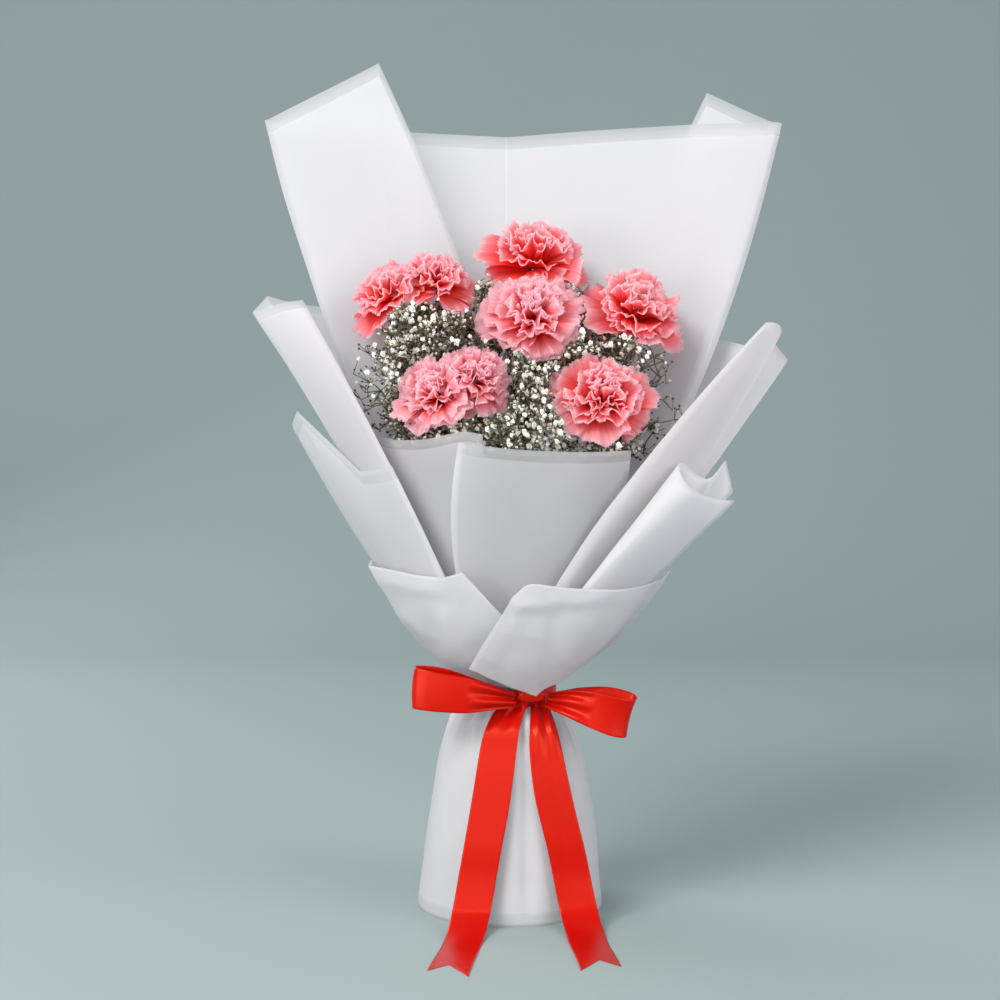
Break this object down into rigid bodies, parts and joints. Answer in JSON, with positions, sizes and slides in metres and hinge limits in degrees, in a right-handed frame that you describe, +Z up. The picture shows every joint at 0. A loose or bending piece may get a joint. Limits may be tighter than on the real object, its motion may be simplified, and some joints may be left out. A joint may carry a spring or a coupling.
{
  "type": "bunch of carnations",
  "caption": "Hand-tied bunch of pink carnations with gypsophila, wrapped in frosted white sheets and tied with a red satin ribbon, standing on a flared skirt.",
  "frame": {"origin": "under the middle of the bunch's bounding box, on the surface it stands on", "axes": "+Z up, from the cut stem ends to the back sheet's top edge; the blooms and the bow face -Y; +X to the viewer's right"},
  "size_m": [0.3688, 0.2592, 0.582],
  "materials": {
    "sheet": "frosted, matte, slightly see-through",
    "ribbon": "satin",
    "petals": "soft matte, paler at the edges",
    "stem": "matte, waxy green",
    "gypsophila": "matte",
    "twine": "matte"
  },
  "bodies": {
    "root": {"sheet_back": "sheet", "sheet_left_outer": "sheet", "sheet_left_flap": "sheet", "sheet_front_left": "sheet", "sheet_front": "sheet", "sheet_right_roll": "sheet", "sheet_lower_right_roll": "sheet", "collar_left": "sheet", "collar_right": "sheet", "skirt": "sheet", "stem_binding": "twine", "ribbon_band": "ribbon", "ribbon_knot": "ribbon", "ribbon_loop_left": "ribbon", "ribbon_loop_right": "ribbon", "ribbon_tail_left": "ribbon", "ribbon_tail_right": "ribbon", "bloom_top": "petals", "bloom_middle": "petals", "bloom_right": "petals", "bloom_lower_right": "petals", "bloom_lower_left": "petals", "bloom_top_left": "petals", "stem_top": "stem", "stem_middle": "stem", "stem_right": "stem", "stem_lower_right": "stem", "stem_lower_left": "stem", "stem_top_left": "stem", "gypsophila_left": "gypsophila", "gypsophila_centre": "gypsophila", "gypsophila_upper_left": "gypsophila", "gypsophila_right": "gypsophila", "gypsophila_upper_right": "gypsophila", "gypsophila_lower_left": "gypsophila"}
  },
  "joints": []
}
